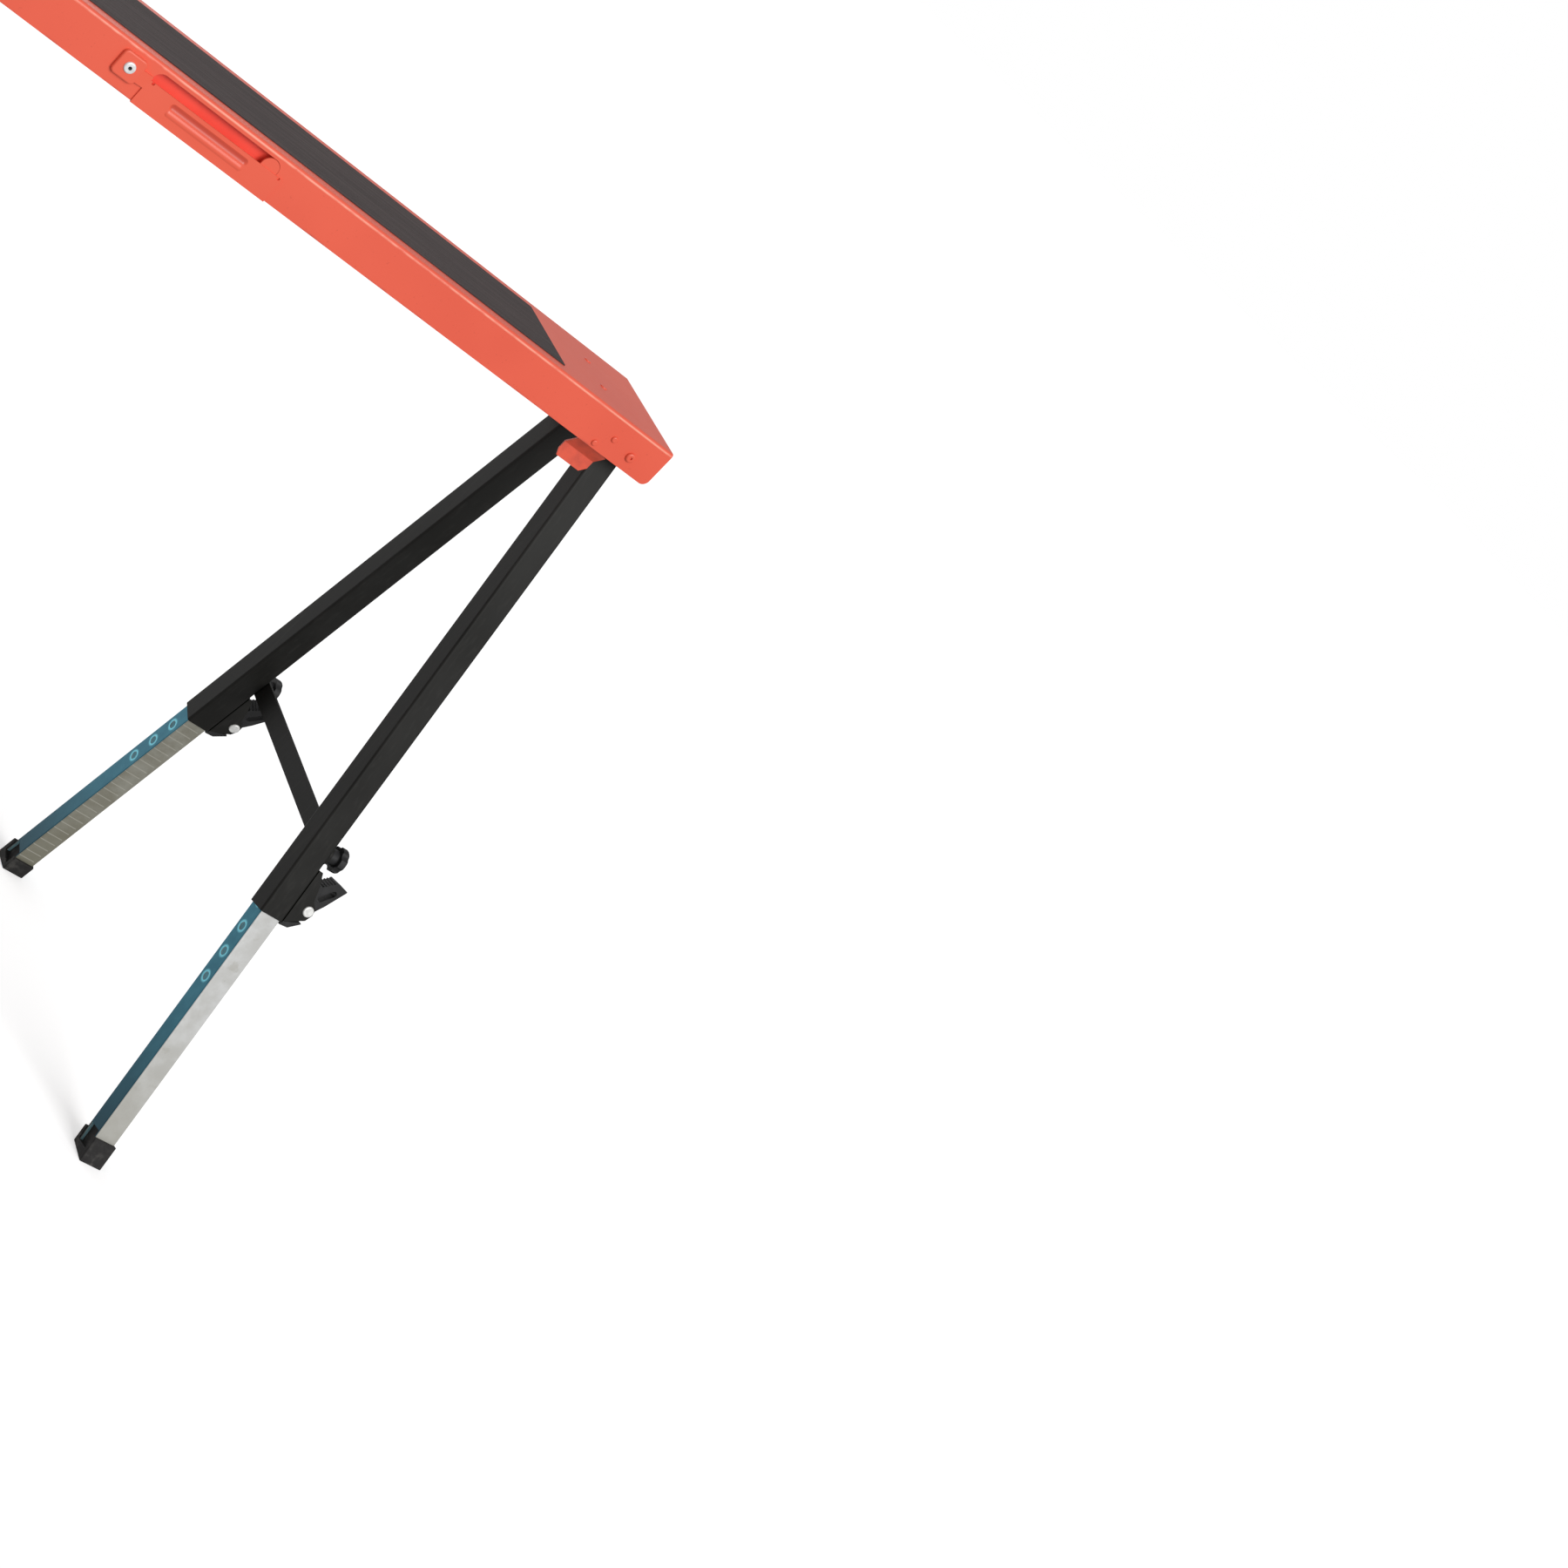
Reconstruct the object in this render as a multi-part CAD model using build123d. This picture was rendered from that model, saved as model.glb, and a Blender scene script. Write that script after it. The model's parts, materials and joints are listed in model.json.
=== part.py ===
"""Folding sawhorse: a sheet-steel beam with two pairs of telescopic legs that fold up into it.

Millimetres, +Z up. The origin is on the floor under the middle of the beam, X runs along the
beam, and the carry handle is on the -Y face. Every quarter of the frame is built once, at the
+X end on the -Y side, and mirrored to the other three.
"""
import os
from math import cos, radians, sin, tan

from build123d import *

os.makedirs("parts", exist_ok=True)

# ---- overall ----
BEAM_LENGTH = 1160.0
BEAM_WIDTH = 140.0
BEAM_HEIGHT = 38.0
BEAM_TOP = 779.0            # steel top face above the floor, legs set as drawn
SPLAY = 13.75               # each leg leans out by this much, degrees

# ---- fits ----
PIVOT_FIT = 0.06            # radial, pins that turn
SLIDE_GAP = 0.5             # inner leg in its tube, each side
SIDE_GAP = 0.4              # faces of moving pieces that pass each other

# ---- beam ----
BEAM_WALL = 1.5
BEAM_BEND = 3.0
END_CORNER = 7.0
STRIP_LENGTH_MARGIN = 130.0
STRIP_WIDTH = 106.0
STRIP_THICKNESS = 1.0
SADDLE_WALL = 2.0
SADDLE_PAST_EAR = 2.1       # saddle past the latch's further ear
SADDLE_END_GAP = 10.0
SADDLE_DROP = 32.0          # how far the saddle's sides reach down from the beam's top
NUB_RADIUS = 3.0
NUB_SHANK = 1.6
SIDE_NUBS = [(67.5, 33.0), (55.0, 20.5)]    # inset from the end, drop below the top
TOP_NUB_INSET = 70.0
TOP_NUB_Y = 24.0

# ---- leg hinge ----
HINGE_INSET = 31.0          # pivot to the beam's end
HINGE_DROP = 24.6           # pivot below the beam's top
PIN_RADIUS = 3.0
PIN_HEAD_RADIUS = 4.6
PIN_HEAD_HEIGHT = 2.4
YOKE_WALL = 2.5
YOKE_HALF_HEIGHT = 10.5
BOLT_RADIUS = 3.0
BOLT_HEAD_RADIUS = 4.6
BOLT_HEAD_HEIGHT = 3.2
BOLT_SPACING = 59.0         # between the two legs' bolts

# ---- legs ----
TUBE = 25.0
TUBE_WALL = 1.5
TUBE_CORNER = 2.5
TUBE_ABOVE = 10.0           # tube above its bolt
TUBE_BELOW = 512.0          # tube below its bolt
INNER_WALL = 1.5
INNER_OVERLAP = 80.3        # inner leg inside the tube, legs set as drawn
HOLE_RADIUS = 4.0
HOLE_PITCH = 26.8
HOLE_COUNT = 6
FIRST_HOLE = 189.0          # lowest hole above the sole, along the leg
WEB_CUT = 26.5              # web cut away up to here above the sole
COLLAR_DEPTH = 30.0
COLLAR_LIP = 2.5
COLLAR_REACH = 17.5         # nose out past the tube's +X face, under the clamp
TONGUE_THICKNESS = 5.0

# ---- foot ----
BOOT_WALL = 1.3
BOOT_OUT = 4.0              # extra thickness on the outer face
BOOT_IN = 3.0               # extra thickness on the inner face
BOOT_HEIGHT = 20.7
SOLE = 5.0
PLUG_INSET = 3.5            # boot's plug behind the leg's web face

# ---- brace and its knobs ----
BRACE_AT = 442.0            # stud, down the leg from the bolt
BRACE_WIDTH = 20.0
BRACE_THICKNESS = 3.0
STUD_RADIUS = 3.0
STUD_REACH = 13.0           # stud past the brace's face
NOTCH_GAP = 0.8             # stud to the sides of the hook's mouth
NOTCH_TILT = 26.0
KNOB_RADIUS = 12.0
KNOB_LENGTH = 7.5
KNOB_SCALLOPS = 5
KNOB_HUB_RADIUS = 7.5
KNOB_HUB_LENGTH = 8.5

# ---- height clamp ----
CLAMP_TOP = 456.5           # down the leg from the bolt
CLAMP_BOTTOM = 509.5
CLAMP_WALL = 2.0
CLAMP_PIN_OUT = 15.0        # clamp's rivet out from the tube's +X face
CLAMP_PIN_AT = 492.2        # and down the leg
CLAMP_PIN_RADIUS = 2.5
CLAMP_HEAD_RADIUS = 5.2
LEVER_HUB = 7.6
LEVER_THICK = 15.0
LEVER_SLOT = 5.4
LEVER_RIBS = 5
# ear and lever outlines: out and up the leg from the rivet
EAR_EDGE = [(-11.0, 35.7), (-4.8, 22.8), (-0.8, 9.6), (5.2, 4.6), (6.0, -1.5), (3.0, -8.4)]
LEVER_EDGE = [(7.4, 0.0), (13.9, 10.1), (24.8, 31.3), (10.9, 33.9), (-1.6, 23.0), (-6.5, 4.0)]
SLOT_ENDS = [(5.6, 13.6), (14.2, 23.6)]

# ---- release latch ----
LATCH_LENGTH = 35.0
LATCH_CLEAR = 1.0           # latch's near edge to the leg's tube
LATCH_SHEET = 1.5
LATCH_FLARE = 9.0           # latch plate past its pin barrel, under the yoke's swing
EAR_THICKNESS = 2.0
LATCH_LIP = 14.0
LATCH_SLOPE = 12.0          # across and down, to the lip
LATCH_PIN_DROP = 27.0
LATCH_PIN_RADIUS = 1.5
LATCH_KNUCKLE = 3.0

# ---- carry handle, on the -Y wall ----
HANDLE_LEFT = 2.4           # left end of the finger slot
HANDLE_SLOT = 128.0
SLOT_TOP_DROP = 6.0
SLOT_CORNER = 8.0
GRIP_DROP = 16.0
GRIP_SHEET = 1.5
GRIP_PROUD = 0.8            # grip's lower edge below the beam's
PAD_SIZE = 22.0
PAD_THICKNESS = 3.6
PAD_CORNER = 4.0
PAD_EDGE = 1.6
GUARD_NEAR = 6.5            # guard behind the slot, from the wall's inner face
GUARD_FAR = 17.0            # and below it
GUARD_BEND_DROP = 22.0
GUARD_MARGIN = 28.0
GUARD_SHEET = 1.2
NECK_RISE = 3.0             # neck between pad and grip, above the grip's top edge
PAD_GAP = 9.4               # pad to slot
GRIP_END = 6.3              # grip past the slot's right end
RIVET_RADIUS = 4.8
HANDLE_SHANK = 2.4
GROOVE_HEIGHT = 6.5         # bead: a groove, and a bulge below it
GROOVE_RADIUS = 4.4
GROOVE_DROP = 22.6
BULGE_RADIUS = 5.0
BULGE_PROUD = 0.9
BULGE_DROP = 28.8
GRIP_START = 1.6            # grip past the slot's left end
GROOVE_MARGIN = 28.0
TAB_WIDTH = 15.8
TAB_GAP = 0.4               # all round between the tab and the slot's end
RELIEF_RADIUS = 1.3

HALF = BEAM_LENGTH / 2
HINGE_X = HALF - HINGE_INSET
HINGE_Z = BEAM_TOP - HINGE_DROP
BOLT_Y = BOLT_SPACING / 2
INNER = TUBE - 2 * TUBE_WALL - 2 * SLIDE_GAP
WALL_Y = BEAM_WIDTH / 2
INSIDE_Y = WALL_Y - BEAM_WALL
SADDLE_Y = INSIDE_Y - SADDLE_WALL
EAR_Y = SADDLE_Y - SIDE_GAP
YOKE_X = TUBE / 2 + SIDE_GAP
SOLE_AT = HINGE_Z / cos(radians(SPLAY))
INNER_LENGTH = SOLE_AT - TUBE_BELOW + INNER_OVERLAP
BRACE_X = TUBE / 2 + SIDE_GAP
CLAMP_PIN_X = TUBE / 2 + CLAMP_PIN_OUT
LATCH_X0 = HINGE_X - TUBE / 2 - LATCH_CLEAR - LATCH_LENGTH
BARREL_LENGTH = LATCH_LENGTH - LATCH_FLARE
LATCH_PIN_Y = -SADDLE_Y + LATCH_KNUCKLE + SIDE_GAP
LATCH_PIN_Z = BEAM_TOP - LATCH_PIN_DROP


def box(x, y, z):
    """A block from its low and high limits on each axis."""
    size = [high - low for low, high in (x, y, z)]
    middle = [(high + low) / 2 for low, high in (x, y, z)]
    return Pos(*middle) * Box(*size)


def rod_x(radius, x0, x1, y=0.0, z=0.0):
    return Pos((x0 + x1) / 2, y, z) * Rot(0, 90, 0) * Cylinder(radius, x1 - x0)


def rod_y(radius, y0, y1, x=0.0, z=0.0):
    return Pos(x, (y0 + y1) / 2, z) * Rot(90, 0, 0) * Cylinder(radius, y1 - y0)


def rod_z(radius, z0, z1, x=0.0, y=0.0):
    return Pos(x, y, (z0 + z1) / 2) * Cylinder(radius, z1 - z0)


def plate_xz(points, y0, y1):
    """A flat plate with its outline in X and Z, between two Y planes."""
    face = make_face(Polyline(*[(x, 0, z) for x, z in points], close=True).edges())
    return Pos(0, y0, 0) * extrude(face, amount=y1 - y0, dir=(0, 1, 0))


def plate_yz(points, x0, x1):
    """A flat plate with its outline in Y and Z, between two X planes."""
    face = make_face(Polyline(*[(0, y, z) for y, z in points], close=True).edges())
    return Pos(x0, 0, 0) * extrude(face, amount=x1 - x0, dir=(1, 0, 0))


def along(shape, axis):
    return shape.edges().filter_by(axis)


def quarter(shape, end, side):
    """Mirror a piece built at the +X, -Y quarter to the end and side asked for."""
    if side == "rear":
        shape = mirror(shape, about=Plane.XZ)
    if end == "left":
        shape = mirror(shape, about=Plane.YZ)
    return shape


def on_leg(shape):
    """Put a piece drawn down a leg, with its bolt at the origin, where the splayed leg is."""
    return Pos(HINGE_X, -BOLT_Y, HINGE_Z) * Rot(-SPLAY, 0, 0) * shape


def write(shape, name):
    solids = shape.solids()
    export_step(solids[0] if len(solids) == 1 else Compound(children=list(solids)), f"parts/{name}.step")


def write_group(solids, name):
    export_step(Compound(children=[s for shape in solids for s in shape.solids()]), f"parts/{name}.step")


QUARTERS = [(end, side) for end in ("right", "left") for side in ("front", "rear")]


# ---------------------------------------------------------------- beam


def beam_shell():
    side = box((-HALF, HALF), (-WALL_Y, WALL_Y), (BEAM_TOP - BEAM_HEIGHT, BEAM_TOP))
    side = fillet(along(side, Axis.Y).group_by(Axis.Z)[0], END_CORNER)
    side = fillet(along(side, Axis.X).group_by(Axis.Z)[-1], BEAM_BEND)
    hollow = box((-HALF - 1, HALF + 1), (-INSIDE_Y, INSIDE_Y), (0, BEAM_TOP - BEAM_WALL))
    hollow = fillet(along(hollow, Axis.X).group_by(Axis.Z)[-1], BEAM_BEND - BEAM_WALL)
    shell = side - hollow
    slot = box(
        (HANDLE_LEFT, HANDLE_LEFT + HANDLE_SLOT),
        (-WALL_Y - 1, -INSIDE_Y + 0.5),
        (BEAM_TOP - BEAM_HEIGHT - 1, BEAM_TOP - SLOT_TOP_DROP),
    )
    shell -= fillet(along(slot, Axis.Y).group_by(Axis.Z)[-1], SLOT_CORNER)
    x, z = handle_rivet_place()
    shell -= rod_y(HANDLE_SHANK, -WALL_Y - 1, -INSIDE_Y + 1, x, z)
    for sign in (-1, 1):
        shell -= rod_y(PIN_RADIUS, -WALL_Y - 1, WALL_Y + 1, sign * HINGE_X, HINGE_Z)
    for end, side in QUARTERS:
        for shank in rivet_shanks():
            shell -= quarter(shank, end, side)
    return shell


def rivet_shanks():
    """The saddle rivets' shanks: two through the side wall and one through the top."""
    side = [
        rod_y(NUB_SHANK, -WALL_Y, -SADDLE_Y, HALF - inset, BEAM_TOP - drop) for inset, drop in SIDE_NUBS
    ]
    low = BEAM_TOP - BEAM_WALL - SADDLE_WALL
    return side + [rod_z(NUB_SHANK, low, BEAM_TOP, HALF - TOP_NUB_INSET, -TOP_NUB_Y)]


def saddle_rivets():
    heads = [
        Pos(HALF - inset, -WALL_Y, BEAM_TOP - drop) * Rot(90, 0, 0) * dome(NUB_RADIUS, 1.6)
        for inset, drop in SIDE_NUBS
    ]
    heads.append(Pos(HALF - TOP_NUB_INSET, -TOP_NUB_Y, BEAM_TOP) * dome(NUB_RADIUS * 1.2, 0.8))
    return [head + shank for head, shank in zip(heads, rivet_shanks())]


def hinge_saddle():
    x1 = HALF - SADDLE_END_GAP
    x0 = LATCH_X0 - SIDE_GAP - EAR_THICKNESS - SADDLE_PAST_EAR
    top = BEAM_TOP - BEAM_WALL
    low = BEAM_TOP - SADDLE_DROP
    block = box((x0, x1), (-INSIDE_Y, INSIDE_Y), (low, top))
    block = fillet(along(block, Axis.X).group_by(Axis.Z)[-1], BEAM_BEND - BEAM_WALL)
    inside = box((x0 - 1, x1 + 1), (-SADDLE_Y, SADDLE_Y), (low - 1, top - SADDLE_WALL))
    saddle = block - inside
    saddle -= rod_y(PIN_RADIUS, -WALL_Y, WALL_Y, HINGE_X, HINGE_Z)
    for side in ("front", "rear"):
        for shank in rivet_shanks():
            saddle -= quarter(shank, "right", side)
        saddle += quarter(latch_ears(), "right", side)
    return saddle


def latch_ears():
    """Two small ears on the saddle's side that carry a latch's pin."""
    ears = Part()
    for x in (LATCH_X0 - SIDE_GAP - EAR_THICKNESS, LATCH_X0 + BARREL_LENGTH + SIDE_GAP):
        ears += box(
            (x, x + EAR_THICKNESS),
            (-SADDLE_Y, LATCH_PIN_Y + LATCH_KNUCKLE),
            (LATCH_PIN_Z - LATCH_KNUCKLE, LATCH_PIN_Z + LATCH_KNUCKLE),
        )
    return ears - rod_x(LATCH_PIN_RADIUS, LATCH_X0 - 10, LATCH_X0 + LATCH_LENGTH, LATCH_PIN_Y, LATCH_PIN_Z)


def hinge_pin():
    pin = rod_y(PIN_RADIUS, -WALL_Y, -EAR_Y + YOKE_WALL + 1.5, HINGE_X, HINGE_Z)
    head = rod_y(PIN_HEAD_RADIUS, -WALL_Y - PIN_HEAD_HEIGHT, -WALL_Y, HINGE_X, HINGE_Z)
    head = fillet(head.edges().group_by(Axis.Y)[0], PIN_HEAD_HEIGHT * 0.7)
    return pin + head - rod_y(1.3, -WALL_Y - PIN_HEAD_HEIGHT - 1, -WALL_Y - 1, HINGE_X, HINGE_Z)


def dome(radius, height):
    """A low rivet head on the XY plane, rising along Z."""
    return fillet(rod_z(radius, 0, height).edges().group_by(Axis.Z)[-1], height * 0.8)


def grip_strip():
    half = HALF - STRIP_LENGTH_MARGIN
    strip = box((-half, half), (-STRIP_WIDTH / 2, STRIP_WIDTH / 2), (BEAM_TOP, BEAM_TOP + STRIP_THICKNESS))
    return fillet(along(strip, Axis.Z), 1.5)


# ---------------------------------------------------------------- carry handle


def capsule(radius):
    """A round-ended rod along the grip, as long as its groove."""
    g0 = HANDLE_LEFT + GROOVE_MARGIN
    g1 = HANDLE_LEFT + HANDLE_SLOT - GROOVE_MARGIN
    return rod_x(radius, g0, g1) + Pos(g0, 0, 0) * Sphere(radius) + Pos(g1, 0, 0) * Sphere(radius)


def carry_handle():
    pad_x1 = HANDLE_LEFT - PAD_GAP
    x0 = HANDLE_LEFT - GRIP_START
    x1 = HANDLE_LEFT + HANDLE_SLOT + GRIP_END
    top = BEAM_TOP - GRIP_DROP
    bottom = BEAM_TOP - BEAM_HEIGHT - GRIP_PROUD
    front = -WALL_Y - GRIP_SHEET
    bar = box((x0, x1), (front, -WALL_Y), (bottom, top))
    middle = BEAM_TOP - GROOVE_DROP
    inset = (GROOVE_RADIUS ** 2 - (GROOVE_HEIGHT / 2) ** 2) ** 0.5
    groove = Pos(0, front - inset, middle) * capsule(GROOVE_RADIUS)
    rib = Pos(0, front - inset, middle) * capsule(GROOVE_RADIUS + GRIP_SHEET)
    rib &= box((x0, x1), (front, 0), (bottom + 0.5, top - 0.5))
    pad_top = BEAM_TOP - SLOT_TOP_DROP - 0.5
    bulge = Pos(0, front + BULGE_RADIUS - BULGE_PROUD, BEAM_TOP - BULGE_DROP) * capsule(BULGE_RADIUS)
    bulge &= box((x0, x1), (front - BULGE_RADIUS, -WALL_Y), (bottom + 0.5, top - 0.5))
    pad = box(
        (pad_x1 - PAD_SIZE, pad_x1),
        (-WALL_Y - PAD_THICKNESS, -WALL_Y),
        (pad_top - PAD_SIZE, pad_top),
    )
    pad = fillet(along(pad, Axis.Y), PAD_CORNER)
    pad = fillet(pad.faces().sort_by(Axis.Y)[0].edges(), PAD_EDGE)
    slope = Polyline(
        (pad_x1 - PAD_CORNER, -WALL_Y), (pad_x1 - PAD_CORNER, -WALL_Y - PAD_THICKNESS),
        (pad_x1 - PAD_EDGE, -WALL_Y - PAD_THICKNESS), (x0 + PAD_EDGE, front), (x0 + PAD_EDGE, -WALL_Y),
        close=True,
    )
    neck_low = pad_top - PAD_SIZE + PAD_CORNER
    neck = Pos(0, 0, neck_low) * extrude(make_face(slope.edges()), amount=top + NECK_RISE - neck_low)
    handle = (bar + rib + neck - groove) + bulge + pad + end_tab()
    for x in (HANDLE_LEFT + 3.0, HANDLE_LEFT + HANDLE_SLOT + 3.0):
        handle -= rod_y(RELIEF_RADIUS, front - 1, -WALL_Y + 1, x, top - 1.0)
    x, z = handle_rivet_place()
    return handle - rod_y(HANDLE_SHANK, -WALL_Y - PAD_THICKNESS - 1, -WALL_Y + 1, x, z)


def end_tab():
    """The round-topped tab at the grip's far end, which fills that end of the slot."""
    x1 = HANDLE_LEFT + HANDLE_SLOT - TAB_GAP
    tab = box(
        (x1 - TAB_WIDTH, x1),
        (-WALL_Y - 0.4, -INSIDE_Y),
        (BEAM_TOP - GRIP_DROP - 4, BEAM_TOP - SLOT_TOP_DROP - TAB_GAP),
    )
    return fillet(along(tab, Axis.Y).group_by(Axis.Z)[-1], SLOT_CORNER - TAB_GAP)


def handle_rivet_place():
    x = HANDLE_LEFT - PAD_GAP - PAD_SIZE / 2
    z = BEAM_TOP - SLOT_TOP_DROP - 0.5 - PAD_SIZE / 2
    return x, z


def handle_rivet():
    x, z = handle_rivet_place()
    face = -WALL_Y - PAD_THICKNESS
    rivet = Pos(x, face, z) * Rot(90, 0, 0) * dome(RIVET_RADIUS, 1.6)
    rivet += rod_y(HANDLE_SHANK, face, -INSIDE_Y, x, z)
    rivet += rod_y(HANDLE_SHANK * 1.5, -INSIDE_Y, -INSIDE_Y + 1.2, x, z)
    return rivet - rod_y(1.5, face - 2, -WALL_Y - 0.8, x, z)


def handle_guard():
    """The bent plate behind the grip, hung from the beam's top: shallow behind the slot, then
    set back where the fingers curl in from below."""
    top = BEAM_TOP - BEAM_WALL
    front = -INSIDE_Y + BEAM_BEND
    bend = BEAM_TOP - GUARD_BEND_DROP
    low = BEAM_TOP - BEAM_HEIGHT + 4.0
    near = -INSIDE_Y + GUARD_NEAR
    far = -INSIDE_Y + GUARD_FAR
    t = GUARD_SHEET
    slope_end = bend - (far - near)
    profile = [
        (front, top), (near + t, top), (near + t, bend), (far + t, slope_end), (far + t, low),
        (far, low), (far, slope_end - t / 2), (near, bend - t / 2), (near, top - t), (front, top - t),
    ]
    x0 = HANDLE_LEFT - GUARD_MARGIN
    return plate_yz(profile, x0, x0 + HANDLE_SLOT + 2 * GUARD_MARGIN)


# ---------------------------------------------------------------- leg hinge
def hinge_yoke():
    z0, z1 = HINGE_Z - YOKE_HALF_HEIGHT, HINGE_Z + YOKE_HALF_HEIGHT
    outer_x = YOKE_X + YOKE_WALL
    block = box((HINGE_X - outer_x, HINGE_X + outer_x), (-EAR_Y, EAR_Y), (z0, z1))
    block = fillet(along(block, Axis.Z), 2.0)
    inside = box(
        (HINGE_X - YOKE_X, HINGE_X + YOKE_X),
        (-EAR_Y + YOKE_WALL, EAR_Y - YOKE_WALL),
        (z0 - 1, z1 + 1),
    )
    yoke = block - inside
    yoke -= rod_y(PIN_RADIUS + PIVOT_FIT, -EAR_Y - 1, EAR_Y + 1, HINGE_X, HINGE_Z)
    for sign in (-1, 1):
        yoke -= rod_x(BOLT_RADIUS, HINGE_X - outer_x - 1, HINGE_X + outer_x + 1, sign * BOLT_Y, HINGE_Z)
    return yoke


def splay_bolt():
    reach = YOKE_X + YOKE_WALL
    bolt = rod_x(BOLT_RADIUS, HINGE_X - reach, HINGE_X + reach, -BOLT_Y, HINGE_Z)
    for x in (HINGE_X - reach - BOLT_HEAD_HEIGHT, HINGE_X + reach):
        hexagon = extrude(RegularPolygon(BOLT_HEAD_RADIUS, 6), amount=BOLT_HEAD_HEIGHT)
        bolt += Pos(x, -BOLT_Y, HINGE_Z) * Rot(0, 90, 0) * hexagon
    return bolt


# ---------------------------------------------------------------- legs
def square_tube(size, wall, corner, z0, z1):
    outer = box((-size / 2, size / 2), (-size / 2, size / 2), (z0, z1))
    outer = fillet(along(outer, Axis.Z), corner)
    hole = size / 2 - wall
    bore = box((-hole, hole), (-hole, hole), (z0 - 1, z1 + 1))
    return outer - fillet(along(bore, Axis.Z), max(corner - wall, 0.3))


def leg_tube():
    tube = square_tube(TUBE, TUBE_WALL, TUBE_CORNER, -TUBE_BELOW, TUBE_ABOVE)
    tube -= rod_x(STUD_RADIUS, 0, TUBE, 0, -BRACE_AT)
    return tube - rod_x(BOLT_RADIUS + PIVOT_FIT, -TUBE, TUBE)


def inner_leg():
    """A channel, web inwards, with the row of height holes, cut level with the foot's floor."""
    half = INNER / 2
    z0 = -SOLE_AT + SOLE + half * tan(radians(SPLAY))
    z1 = -SOLE_AT + INNER_LENGTH
    outer = box((-half, half), (-half, half), (z0, z1))
    outer = fillet(along(outer, Axis.Z).group_by(Axis.X)[0], 1.6)
    space = box((-half + INNER_WALL, half + 1), (-half + INNER_WALL, half - INNER_WALL), (z0 - 1, z1 + 1))
    leg = outer - space
    side = half - INNER_WALL
    leg -= box((-half - 1, 0), (-side, side), (z0 - 1, -SOLE_AT + WEB_CUT))
    for row in range(HOLE_COUNT):
        z = -SOLE_AT + FIRST_HOLE + row * HOLE_PITCH
        leg -= rod_x(HOLE_RADIUS, -half - 1, -half + INNER_WALL + 1, 0, z)
    return leg


def foot_boot():
    """A moulded boot: open behind the cut web, with a plug inside the channel."""
    half = INNER / 2
    side = half - INNER_WALL
    top = -SOLE_AT + BOOT_HEIGHT
    floor = -SOLE_AT + SOLE + half * tan(radians(SPLAY))
    x = half + BOOT_WALL
    boot = box((-x, x), (-half - BOOT_OUT, half + BOOT_IN), (top - 60, top))
    boot = fillet(along(boot, Axis.Z), 1.2)
    boot -= box((-half, half), (-half, half), (floor, top + 1))
    boot -= box((-x - 1, 0), (-side, side), (floor, top + 1))
    return boot + box((-half + PLUG_INSET, half), (-side, side), (floor - 1, -SOLE_AT + WEB_CUT - 1))


def guide_collar():
    """The plastic nose under the clamp, with a tongue that runs inside the inner leg."""
    face = INNER / 2 + SLIDE_GAP
    z0 = -TUBE_BELOW
    tip = TUBE / 2 + COLLAR_REACH
    under_clamp = -CLAMP_BOTTOM - SIDE_GAP
    nose = [
        (face, z0), (TUBE / 2, z0), (TUBE / 2, under_clamp), (TUBE / 2 + CLAMP_WALL, under_clamp),
        (tip - 2, z0 + 8.0), (tip, z0 + 7.0), (tip - 10, z0 - COLLAR_LIP + 0.8), (face, z0 - COLLAR_LIP),
    ]
    side = INNER / 2 - INNER_WALL - SLIDE_GAP
    tongue = box((face - TONGUE_THICKNESS, face), (-side, side), (z0 - COLLAR_LIP, z0 + COLLAR_DEPTH))
    return plate_xz(nose, -TUBE / 2 + 0.5, TUBE / 2 - 0.5) + tongue


def brace_stud():
    x0 = TUBE / 2 - TUBE_WALL
    return rod_x(STUD_RADIUS, x0, BRACE_X + BRACE_THICKNESS + STUD_REACH, 0, -BRACE_AT)


def brace_knob():
    """A scalloped hand knob on a short hub, outside the brace."""
    x0 = BRACE_X + BRACE_THICKNESS + SIDE_GAP
    x1 = x0 + KNOB_HUB_LENGTH
    grip = rod_x(KNOB_RADIUS, x1, x1 + KNOB_LENGTH)
    grip = fillet(grip.edges().group_by(Axis.X)[-1], 2.0)
    for turn in range(KNOB_SCALLOPS):
        around = radians(360 / KNOB_SCALLOPS * turn)
        y, z = KNOB_RADIUS * 1.28 * cos(around), KNOB_RADIUS * 1.28 * sin(around)
        grip -= rod_x(KNOB_RADIUS * 0.45, x1 - 1, x1 + KNOB_LENGTH + 1, y, z)
    knob = rod_x(KNOB_HUB_RADIUS, x0, x1) + grip
    knob -= rod_x(STUD_RADIUS + PIVOT_FIT, x0 - 1, BRACE_X + BRACE_THICKNESS + STUD_REACH + SIDE_GAP)
    return Pos(0, 0, -BRACE_AT) * knob


def clamp_bracket():
    """A pressed U: its web lies on the tube, and its two ears hold the lever's rivet."""
    x0 = TUBE / 2
    side = TUBE / 2
    web = box((x0, x0 + CLAMP_WALL), (-side, side), (-CLAMP_BOTTOM, -CLAMP_TOP))
    edge = [(CLAMP_PIN_X + out, -CLAMP_PIN_AT + up) for out, up in EAR_EDGE]
    ear = [(x0, -CLAMP_TOP)] + edge + [(x0 + CLAMP_WALL, -CLAMP_BOTTOM), (x0, -CLAMP_BOTTOM)]
    bracket = web + plate_xz(ear, -side, -side + CLAMP_WALL) + plate_xz(ear, side - CLAMP_WALL, side)
    return bracket - rod_y(CLAMP_PIN_RADIUS, -side - 1, side + 1, CLAMP_PIN_X, -CLAMP_PIN_AT)


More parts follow.
